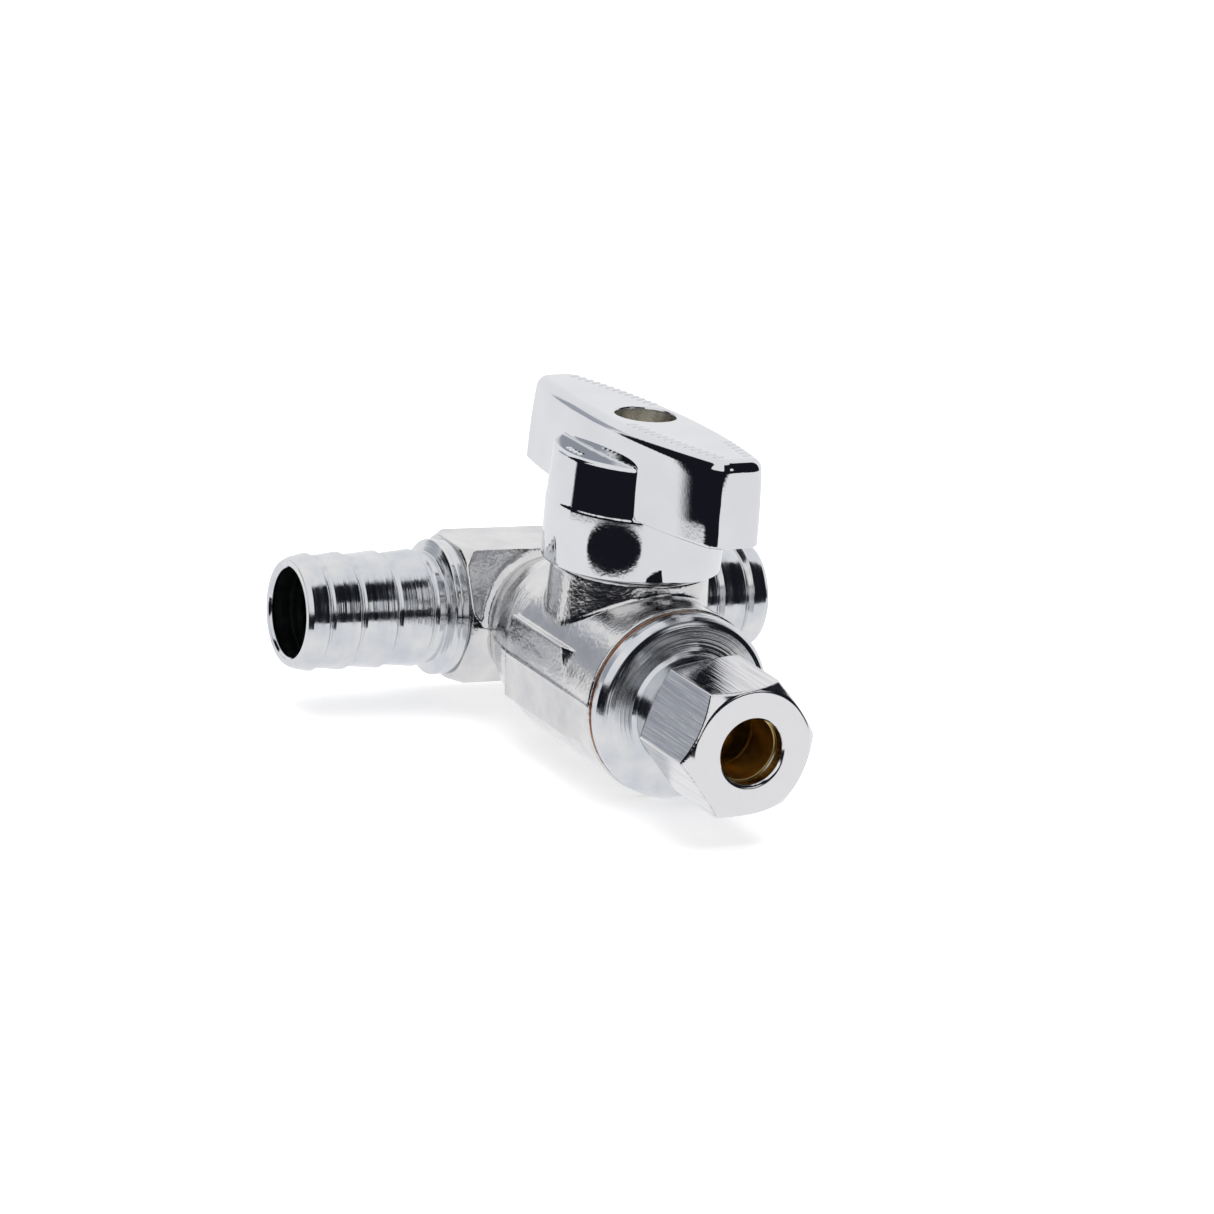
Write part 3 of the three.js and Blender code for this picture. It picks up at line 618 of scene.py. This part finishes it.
def lever_bar_places():
    """Rows of grip bars that follow the lever's curved edges."""
    skew = math.radians(LEVER_SKEW)
    places = []
    for side, start, end in GRIP_BAR_ROWS:
        for along in np.arange(start, end, GRIP_BAR_PITCH):
            across = side * (float(lever_half_width(along)) - GRIP_BAR_INSET)
            x = LEVER_OFFSET + across * math.cos(skew) - along * math.sin(skew)
            y = across * math.sin(skew) + along * math.cos(skew)
            places.append((x, y, LEVER_TOP, skew + side * GRIP_BAR_TILT))
    return places


def hub_bar_places():
    """Short bars in an arc on the hub's shoulder."""
    return [(HUB_BAR_RADIUS * math.cos(angle), HUB_BAR_RADIUS * math.sin(angle), HUB_TOP, angle)
            for angle in map(math.radians, HUB_BAR_ANGLES)]


def make_handle(materials):
    """Handle casting with a dull recess for the screw, and its raised bars."""
    low = (-HUB_RADIUS - 0.3, LEVER_NEAR - 0.4, HUB_BOTTOM - 0.3)
    high = (HUB_RADIUS + 0.3, LEVER_FAR + 0.4, LEVER_TOP + 0.3)
    handle = field_mesh("lever_handle", handle_field, low, high, HANDLE_STEP, materials["polished"])
    handle.data.materials.append(materials["steel"])
    for polygon in handle.data.polygons:
        beside, height = polygon.center.xy.length / MM, polygon.center.z / MM - BALL_HEIGHT
        if beside < RECESS_RADIUS + 0.05 and RECESS_FLOOR - 0.2 < height < LEVER_TOP - RECESS_RIM:
            polygon.material_index = 1
    place(handle, "handle_set", "handle_chrome", "handle")
    for name, places, half_long in (("handle_grip_bars", lever_bar_places(), GRIP_BAR_HALF_LONG),
                                    ("hub_position_bars", hub_bar_places(), HUB_BAR_HALF_LONG)):
        bars = add_mesh(name, *raised_bars(places, half_long), materials["polished"])
        place(bars, "handle_set", "handle_chrome", "handle")


# ------------------------------------------------------------------ outlet

def thread_rows(low, high, radius, step):
    """Profile rows close enough together to carry a thread."""
    count = int(abs(high - low) / step)
    return [(height, radius) for height in np.linspace(low, high, count + 1)]


def adapter_profile():
    """Closed outline of the adapter: mouth, thread, neck, flange, inner end and bores."""
    front = ADAPTER_FRONT
    mouth = [(front + 1.0, NUT_HOLE), (front, ADAPTER_MOUTH), (front, ADAPTER_THREAD - 0.5),
             (front + 0.35, ADAPTER_THREAD), (front + 0.5, ADAPTER_THREAD)]
    first_corner = CORNER_STEPS + 1
    row_step = THREAD_PITCH / THREAD_ROWS_PER_TURN
    thread = thread_rows(front + 0.55, ADAPTER_THREAD_BACK, ADAPTER_THREAD + THREAD_DEPTH, row_step)
    return soften(mouth, 0.1)[first_corner:] + thread + soften(ADAPTER_FLANGE, TURNED_EDGE)[first_corner:]


def make_outlet_adapter(materials):
    """Adapter, plated outside and bare brass in its bores, and the ring that seals it."""
    thread = (ADAPTER_FRONT + 0.5, ADAPTER_THREAD_BACK + 0.05, THREAD_PITCH, 2 * THREAD_DEPTH, ADAPTER_CORE)
    adapter = turned("outlet_adapter_turned", "y", adapter_profile(), materials["turned_outlet"],
                     FINE_FACETS, thread=thread)
    adapter.data.materials.append(materials["brass"])
    for polygon in adapter.data.polygons:
        if math.hypot(polygon.center.x, polygon.center.z - BALL_HEIGHT * MM) < ADAPTER_BRASS * MM:
            polygon.material_index = 1
    place(adapter, "valve", "turned_chrome", "outlet_adapter")
    ring = soften(SEAL_RING, TURNED_EDGE)
    seal = turned("adapter_seal_ring_turned", "y", ring, materials["copper"], FINE_FACETS)
    place(seal, "valve", "seal_copper", "adapter_seal_ring")


def nut_field(x, y, z):
    """Hexagonal nut, chamfered at both ends, with its tube hole, sleeve cone and thread."""
    turn = math.radians(NUT_TURN)
    u, v = x * math.cos(turn) + z * math.sin(turn), z * math.cos(turn) - x * math.sin(turn)
    hexagon = hex_across(u, v, NUT_FLATS)
    front_cone = NUT_FRONT_SCALE * (rod(x, z, NUT_FACE) - (y - NUT_FRONT))
    back_cone = NUT_BACK_SCALE * (rod(x, z, NUT_FACE) - NUT_BACK_SLOPE * (NUT_BACK - y))
    outside = hexagon
    for side in (front_cone, back_cone, slab(y, NUT_FRONT, NUT_BACK)):
        outside = meet(outside, side, EDGE_CRISP)
    bevel = np.maximum(0, 1 - (y - NUT_FRONT) / NUT_HOLE_BEVEL)
    hole = rod(x, z, NUT_HOLE + NUT_HOLE_BEVEL * bevel)
    heights, radii = zip((NUT_CONE_FRONT, NUT_HOLE), NUT_CONE_MIDDLE, (NUT_CONE_BACK, NUT_THREAD))
    cone = np.maximum(rod(x, z, np.interp(y, heights, radii)), NUT_CONE_FRONT - y)
    depth = NUT_THREAD_DEPTH * np.cos(math.tau * y / THREAD_PITCH + np.arctan2(x, z))
    threaded = rod(x, z, NUT_THREAD + THREAD_DEPTH + np.where(y > NUT_THREAD_FRONT, depth, 0))
    socket = np.maximum(threaded, NUT_CONE_BACK - y)
    return cut(outside, np.minimum(np.minimum(hole, cone), socket), EDGE_FINE)


def make_nut(materials):
    """Compression nut, and the sleeve inside it."""
    low, high = (-7.6, NUT_FRONT - 0.4, -7.6), (7.6, NUT_BACK + 0.4, 7.6)
    nut = field_mesh("compression_nut_milled", nut_field, low, high, NUT_STEP, materials["nut"])
    place(nut, "nut", "turned_chrome", "compression_nut")
    sleeve = turned("compression_sleeve_turned", "y", soften(SLEEVE, TURNED_EDGE), materials["brass"])
    place(sleeve, "sleeve", "brass", "compression_sleeve")


# ------------------------------------------------------------------ inside

def make_fasteners(materials):
    """Handle screw with its cross recess, and the spring washer under its head."""
    outline = [*SCREW_TIP, *thread_rows(*SCREW_ROWS), *SCREW_HEAD]
    blank = turned("handle_screw_cross_head", "z", outline, materials["steel"], SMALL_FACETS,
                   thread=SCREW_THREAD)
    cross = blank.modifiers.new("cross recess", "BOOLEAN")
    cross.solver = "EXACT"
    cross.object = cross_cutter(materials["steel"])
    place(blank, "handle_set", "screw_steel", "handle_screw")
    profile = soften(LOCK_WASHER, 0.1)
    lock_washer = turned("handle_lock_washer_split", "z", profile, materials["steel"], SMALL_FACETS)
    place(lock_washer, "handle_set", "screw_steel", "handle_lock_washer")


def cross_cutter(material):
    """Cross-shaped punch that a boolean takes out of the screw's head; it isn't rendered."""
    arm, half = CROSS_ARM, CROSS_HALF
    outline = [(half, half), (half, arm), (-half, arm), (-half, half), (-arm, half), (-arm, -half),
               (-half, -half), (-half, -arm), (half, -arm), (half, -half), (arm, -half), (arm, half)]
    shape = bmesh.new()
    lower, upper = [], []
    for ring, scale, height in ((lower, CROSS_TAPER, CROSS_FLOOR), (upper, 1, CROSS_TOP)):
        for x, y in outline:
            point = (x * scale * MM, y * scale * MM, (height + BALL_HEIGHT) * MM)
            ring.append(shape.verts.new(point))
    shape.faces.new(upper[::-1])
    shape.faces.new(lower)
    for i in range(len(outline)):
        j = (i + 1) % len(outline)
        shape.faces.new((lower[i], upper[i], upper[j], lower[j]))
    bmesh.ops.recalc_face_normals(shape, faces=shape.faces)
    mesh = bpy.data.meshes.new("cross_cutter")
    shape.to_mesh(mesh)
    shape.free()
    mesh.materials.append(material)
    return bpy.data.objects.new("cross_cutter", mesh)


def finish_inner_nodes(materials):
    """Gives the CAD pieces that stay as they are their finished materials."""
    finishes = {"stem": "brass", "ball": "ball", "ball_seat_inlet": "polymer",
                "ball_seat_outlet": "polymer", "stem_thrust_washer": "polymer",
                "stem_o_ring_lower": "rubber", "stem_o_ring_upper": "rubber"}
    for node, finish in finishes.items():
        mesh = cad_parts[node].data
        mesh.materials.clear()
        mesh.materials.append(materials[finish])


# ------------------------------------------------------------------ materials

class Graph:
    """Small helper that adds and links the nodes of one material."""

    def __init__(self, name):
        self.material = bpy.data.materials.new(name)
        self.material.use_nodes = True
        self.nodes = self.material.node_tree.nodes
        self.links = self.material.node_tree.links
        self.shader = self.nodes["Principled BSDF"]
        self.place = self.nodes.new("ShaderNodeTexCoord").outputs["Object"]
        self.normal = None

    def roughness(self, value, low, high):
        """Varies the roughness between two limits."""
        self.links.new(self.spread(value, low, high), self.shader.inputs["Roughness"])

    def noise(self, size, detail=3.0, vector=None, dimensions="3D"):
        """Noise whose features measure about size millimetres."""
        node = self.nodes.new("ShaderNodeTexNoise")
        node.noise_dimensions = dimensions
        node.inputs["Scale"].default_value = 1 / (size * MM)
        node.inputs["Detail"].default_value = detail
        self.links.new(vector or self.place, node.inputs["W" if dimensions == "1D" else "Vector"])
        return node.outputs["Fac"]

    def spread(self, value, low, high, start=0.3, end=0.7):
        """Stretches the middle of a noise over a range."""
        node = self.nodes.new("ShaderNodeMapRange")
        node.inputs["From Min"].default_value = start
        node.inputs["From Max"].default_value = end
        node.inputs["To Min"].default_value = low
        node.inputs["To Max"].default_value = high
        self.links.new(value, node.inputs["Value"])
        return node.outputs["Result"]

    def bump(self, height, depth):
        """Adds relief of about depth millimetres."""
        node = self.nodes.new("ShaderNodeBump")
        node.inputs["Distance"].default_value = depth * MM
        self.links.new(height, node.inputs["Height"])
        if self.normal:
            self.links.new(self.normal, node.inputs["Normal"])
        self.normal = node.outputs["Normal"]
        self.links.new(self.normal, self.shader.inputs["Normal"])

    def colours(self, value, dark, light):
        """Base colour between two, by a value from 0 to 1."""
        node = self.nodes.new("ShaderNodeMix")
        node.data_type = "RGBA"
        node.inputs["A"].default_value = (*dark, 1)
        node.inputs["B"].default_value = (*light, 1)
        self.links.new(value, node.inputs["Factor"])
        self.links.new(node.outputs["Result"], self.shader.inputs["Base Color"])

    def on_the_sides(self, value):
        """Keeps a value on faces that run along Y and makes it 1 on faces across Y."""
        coordinates = self.nodes.new("ShaderNodeTexCoord")
        parts = self.nodes.new("ShaderNodeSeparateXYZ")
        self.links.new(coordinates.outputs["Normal"], parts.inputs[0])
        across = self.nodes.new("ShaderNodeMath")
        across.operation = "ABSOLUTE"
        self.links.new(parts.outputs["Y"], across.inputs[0])
        mask = self.spread(across.outputs["Value"], 0, 1, 0.5, 0.8)
        larger = self.nodes.new("ShaderNodeMath")
        larger.operation = "MAXIMUM"
        self.links.new(value, larger.inputs[0])
        self.links.new(mask, larger.inputs[1])
        return larger.outputs["Value"]

    def round_the_axis(self, axis, centre):
        """A value that is the same all the way round an axis and changes along any profile."""
        mask = [0 if name == axis else 1 for name in "xyz"]
        centred = self.nodes.new("ShaderNodeVectorMath")
        centred.operation = "SUBTRACT"
        centred.inputs[1].default_value = centre
        self.links.new(self.place, centred.inputs[0])
        across = self.nodes.new("ShaderNodeVectorMath")
        across.operation = "MULTIPLY"
        across.inputs[1].default_value = mask
        self.links.new(centred.outputs["Vector"], across.inputs[0])
        radius = self.nodes.new("ShaderNodeVectorMath")
        radius.operation = "LENGTH"
        self.links.new(across.outputs["Vector"], radius.inputs[0])
        parts = self.nodes.new("ShaderNodeSeparateXYZ")
        self.links.new(centred.outputs["Vector"], parts.inputs[0])
        total = self.nodes.new("ShaderNodeMath")
        total.operation = "MULTIPLY_ADD"
        total.inputs[1].default_value = 0.7
        self.links.new(parts.outputs["xyz".index(axis)], total.inputs[0])
        self.links.new(radius.outputs["Value"], total.inputs[2])
        return total.outputs["Value"]


def polished_chrome():
    """Bright die-cast chrome: faint orange peel, fine pits and handling haze."""
    graph = Graph("polished chrome")
    graph.shader.inputs["Metallic"].default_value = 1.0
    graph.colours(graph.spread(graph.noise(6.0), 0, 1), (0.70, 0.71, 0.73), (0.755, 0.76, 0.775))
    graph.roughness(graph.noise(1.6, 6), 0.01, 0.035)
    graph.bump(graph.noise(2.0, 2), 0.002)
    graph.bump(graph.noise(0.3, 4), 0.0016)
    return graph.material


def forged_chrome():
    """Plated forging: mottled, softly pebbled skin with blue-grey and warm patches."""
    graph = Graph("forged chrome")
    graph.shader.inputs["Metallic"].default_value = 1.0
    graph.colours(graph.spread(graph.noise(3.5, 5), 0, 1), (0.60, 0.605, 0.62), (0.76, 0.75, 0.735))
    graph.roughness(graph.noise(1.2, 6), 0.05, 0.18)
    graph.bump(graph.noise(1.8, 3), 0.06)
    graph.bump(graph.noise(0.4, 5), 0.035)
    return graph.material


def turned_chrome(name, axis, centre, depth, streak_size):
    """Lathe-turned and plated surface, with fine tool lines round the axis."""
    graph = Graph(name)
    graph.shader.inputs["Metallic"].default_value = 1.0
    rings = graph.round_the_axis(axis, centre)
    graph.colours(graph.spread(graph.noise(2.8, 4), 0, 1), (0.60, 0.63, 0.67), (0.75, 0.75, 0.75))
    graph.roughness(graph.noise(0.5, 5, rings, "1D"), 0.07, 0.2)
    graph.bump(graph.noise(streak_size, 4, rings, "1D"), depth)
    graph.bump(graph.noise(1.0, 4), 0.012)
    return graph.material


def milled_chrome():
    """Nut finish: straight cutter lines along the flats, under bright plating."""
    graph = Graph("milled chrome")
    graph.shader.inputs["Metallic"].default_value = 1.0
    stretch = graph.nodes.new("ShaderNodeVectorMath")
    stretch.operation = "MULTIPLY"
    stretch.inputs[1].default_value = (1.0, 0.03, 1.0)
    graph.links.new(graph.place, stretch.inputs[0])
    lines = graph.on_the_sides(graph.noise(0.22, 2, stretch.outputs["Vector"]))
    graph.colours(graph.spread(lines, 0, 1, 0.4, 0.6), (0.62, 0.62, 0.635), (0.77, 0.77, 0.78))
    graph.roughness(graph.noise(1.0, 5), 0.06, 0.16)
    graph.bump(lines, 0.018)
    graph.bump(graph.noise(2.5, 2), 0.006)
    return graph.material


def soft_metal(name, dark, light, low, high, grain, depth):
    """Unplated metal: brass, copper or steel with fine grain and a little tarnish."""
    graph = Graph(name)
    graph.shader.inputs["Metallic"].default_value = 1.0
    graph.colours(graph.spread(graph.noise(2.0, 6), 0, 1), dark, light)
    graph.roughness(graph.noise(0.8, 5), low, high)
    graph.bump(graph.noise(grain, 4), depth)
    return graph.material


def moulded(name, dark, light, low, high):
    """Polymer or rubber with a fine moulded skin."""
    graph = Graph(name)
    graph.colours(graph.spread(graph.noise(1.5, 4), 0, 1), dark, light)
    graph.roughness(graph.noise(0.6, 4), low, high)
    graph.bump(graph.noise(0.2, 4), 0.01)
    return graph.material


def make_materials():
    """Every material, by a short name."""
    axis_height = BALL_HEIGHT * MM
    run_centre = (0, RUN_SETBACK * MM, axis_height)
    outlet_centre = (0, 0, axis_height)
    return {
        "polished": polished_chrome(),
        "forged": forged_chrome(),
        "turned_run": turned_chrome("turned chrome run", "x", run_centre, 0.02, 0.35),
        "turned_outlet": turned_chrome("turned chrome outlet", "y", outlet_centre, 0.02, 0.3),
        "nut": milled_chrome(),
        "copper": soft_metal("copper seal", (0.42, 0.17, 0.08), (0.75, 0.42, 0.26), 0.25, 0.5, 0.3, 0.03),
        "brass": soft_metal("turned brass", (0.72, 0.50, 0.16), (0.88, 0.66, 0.28), 0.3, 0.42, 0.8, 0.002),
        "steel": soft_metal("plated steel", (0.78, 0.76, 0.70), (0.90, 0.88, 0.82), 0.22, 0.38, 0.6, 0.012),
        "ball": soft_metal("ball chrome", (0.60, 0.61, 0.63), (0.72, 0.73, 0.75), 0.05, 0.14, 0.5, 0.003),
        "polymer": moulded("seat polymer", (0.72, 0.71, 0.68), (0.86, 0.85, 0.82), 0.4, 0.6),
        "rubber": moulded("black rubber", (0.012, 0.012, 0.013), (0.03, 0.03, 0.032), 0.55, 0.8),
    }


# ------------------------------------------------------------------ studio

def edge(tree, value, start, end):
    """Smooth step of a world value from 0 at start to 1 at end."""
    node = tree.nodes.new("ShaderNodeMapRange")
    node.interpolation_type = "SMOOTHSTEP"
    node.inputs["From Min"].default_value = start
    node.inputs["From Max"].default_value = end
    tree.links.new(value, node.inputs["Value"])
    return node.outputs["Result"]


def math_node(tree, operation, first, second):
    """One calculation on two inputs, each a number or a socket."""
    node = tree.nodes.new("ShaderNodeMath")
    node.operation = operation
    for socket, value in zip(node.inputs, (first, second)):
        if isinstance(value, float):
            socket.default_value = value
        else:
            tree.links.new(value, socket)
    return node.outputs["Value"]


def dark_window(tree, azimuth, elevation, left, right, low, high):
    """Mask over a patch of the sky dome, with soft edges, all in degrees."""
    mask = 1.0
    for value, middle, softness in ((azimuth, left, SIDE_SOFTNESS), (azimuth, right, -SIDE_SOFTNESS),
                                    (elevation, low, LOW_SOFTNESS), (elevation, high, -HIGH_SOFTNESS)):
        side = edge(tree, value, math.radians(middle - softness), math.radians(middle + softness))
        mask = math_node(tree, "MULTIPLY", mask, side)
    return mask


def dark_wedge(tree, azimuth, elevation):
    """Mask over the left end of the opening, whose lower edge slants."""
    window = dark_window(tree, azimuth, elevation, *WEDGE_WINDOW)
    slanted = math_node(tree, "ADD", azimuth, math_node(tree, "MULTIPLY", elevation, WEDGE_SLOPE))
    start = math.radians(WEDGE_START - WEDGE_SOFTNESS)
    end = math.radians(WEDGE_START + WEDGE_SOFTNESS)
    side = edge(tree, slanted, start, end)
    return math_node(tree, "MULTIPLY", window, side)


def dark_blob(tree, azimuth, elevation):
    """Mask over a small oval patch low in the opening."""
    squares = []
    for value, centre, reach in zip((azimuth, elevation), BLOB_CENTRE, BLOB_REACH):
        offset = math_node(tree, "SUBTRACT", value, math.radians(centre))
        scaled = math_node(tree, "DIVIDE", offset, math.radians(reach))
        squares.append(math_node(tree, "POWER", math_node(tree, "ABSOLUTE", scaled, 0.0), 2.0))
    return edge(tree, math_node(tree, "ADD", *squares), *BLOB_EDGE)


def blend_colours(tree, mask, first, second):
    """Mixes two world colours, each a fixed colour or a socket."""
    mix = tree.nodes.new("ShaderNodeMix")
    mix.data_type = "RGBA"
    for name, colour in (("A", first), ("B", second)):
        if isinstance(colour, tuple):
            mix.inputs[name].default_value = colour
        else:
            tree.links.new(colour, mix.inputs[name])
    tree.links.new(mask, mix.inputs["Factor"])
    return mix.outputs["Result"]


def make_world():
    """White studio tent, with the dark opening that the camera looks in through."""
    world = bpy.data.worlds.new("studio tent")
    bpy.context.scene.world = world
    world.use_nodes = True
    tree = world.node_tree
    direction = tree.nodes.new("ShaderNodeTexCoord").outputs["Generated"]
    parts = tree.nodes.new("ShaderNodeSeparateXYZ")
    tree.links.new(direction, parts.inputs[0])
    towards_front = math_node(tree, "MULTIPLY", parts.outputs["Y"], -1.0)
    azimuth = math_node(tree, "ARCTAN2", parts.outputs["X"], towards_front)
    elevation = math_node(tree, "ARCSINE", parts.outputs["Z"], 0.0)
    mask = dark_wedge(tree, azimuth, elevation)
    mask = math_node(tree, "MAXIMUM", mask, dark_blob(tree, azimuth, elevation))
    for patch in DARK_PATCHES:
        mask = math_node(tree, "MAXIMUM", mask, dark_window(tree, azimuth, elevation, *patch))
    strip = dark_window(tree, azimuth, elevation, *STRIP_LIGHT)
    mask = math_node(tree, "MULTIPLY", mask, math_node(tree, "SUBTRACT", 1.0, strip))
    wall = dark_window(tree, azimuth, elevation, *GREY_WALL)
    colour = blend_colours(tree, wall, TENT_WHITE, WALL_GREY)
    colour = blend_colours(tree, mask, colour, OPENING_BLACK)
    tree.links.new(colour, tree.nodes["Background"].inputs["Color"])


def make_floor():
    """White sweep that glows a little, so that it stays white in the picture."""
    material = bpy.data.materials.new("white sweep")
    material.use_nodes = True
    shader = material.node_tree.nodes["Principled BSDF"]
    shader.inputs["Base Color"].default_value = FLOOR_WHITE
    shader.inputs["Roughness"].default_value = 1.0
    shader.inputs["Specular IOR Level"].default_value = 0.0
    shader.inputs["Emission Color"].default_value = (1, 1, 1, 1)
    shader.inputs["Emission Strength"].default_value = FLOOR_GLOW
    bpy.ops.mesh.primitive_plane_add(size=FLOOR_WIDTH, location=(0, 0, FLOOR_HEIGHT * MM))
    floor = bpy.context.object
    floor.name = "studio_floor"
    floor.data.materials.append(material)
    floor.visible_glossy = False


def make_key_light():
    """Large soft light above and behind, turned towards the valve."""
    lamp = bpy.data.lights.new("overhead softbox", "AREA")
    lamp.shape = "RECTANGLE"
    lamp.size, lamp.size_y = SOFTBOX_WIDTH, SOFTBOX_WIDTH
    lamp.energy = SOFTBOX_POWER
    light = bpy.data.objects.new("overhead_softbox", lamp)
    light.visible_glossy = False
    light.location = SOFTBOX_PLACE
    light.rotation_euler = Vector(SOFTBOX_PLACE).to_track_quat("Z", "Y").to_euler()
    bpy.context.scene.collection.objects.link(light)


def make_camera():
    """Long lens at the camera's measured place, rolled a little."""
    azimuth, elevation, roll = map(math.radians, (CAMERA_AZIMUTH, CAMERA_ELEVATION, CAMERA_ROLL))
    level = math.cos(elevation)
    back = Vector((math.sin(azimuth) * level, -math.cos(azimuth) * level, math.sin(elevation)))
    right = Vector((math.cos(azimuth), math.sin(azimuth), 0))
    up = back.cross(right)
    across = math.cos(roll) * right + math.sin(roll) * up
    upright = math.cos(roll) * up - math.sin(roll) * right
    data = bpy.data.cameras.new("camera")
    data.lens = CAMERA_LENS
    data.sensor_width = SENSOR_WIDTH
    data.clip_end = FAR_CLIP
    camera = bpy.data.objects.new("camera", data)
    turn = Matrix((across, upright, back)).transposed().to_4x4()
    camera.matrix_world = Matrix.Translation(Vector(CAMERA_PLACE) * MM) @ turn
    bpy.context.scene.collection.objects.link(camera)
    bpy.context.scene.camera = camera


def main():
    """Builds the studio and every piece."""
    make_camera()
    make_world()
    make_floor()
    make_key_light()
    materials = make_materials()
    make_tee_body(materials)
    make_handle(materials)
    make_outlet_adapter(materials)
    make_nut(materials)
    make_fasteners(materials)
    finish_inner_nodes(materials)
    scene = bpy.context.scene
    scene.view_settings.view_transform = "Standard"


main()
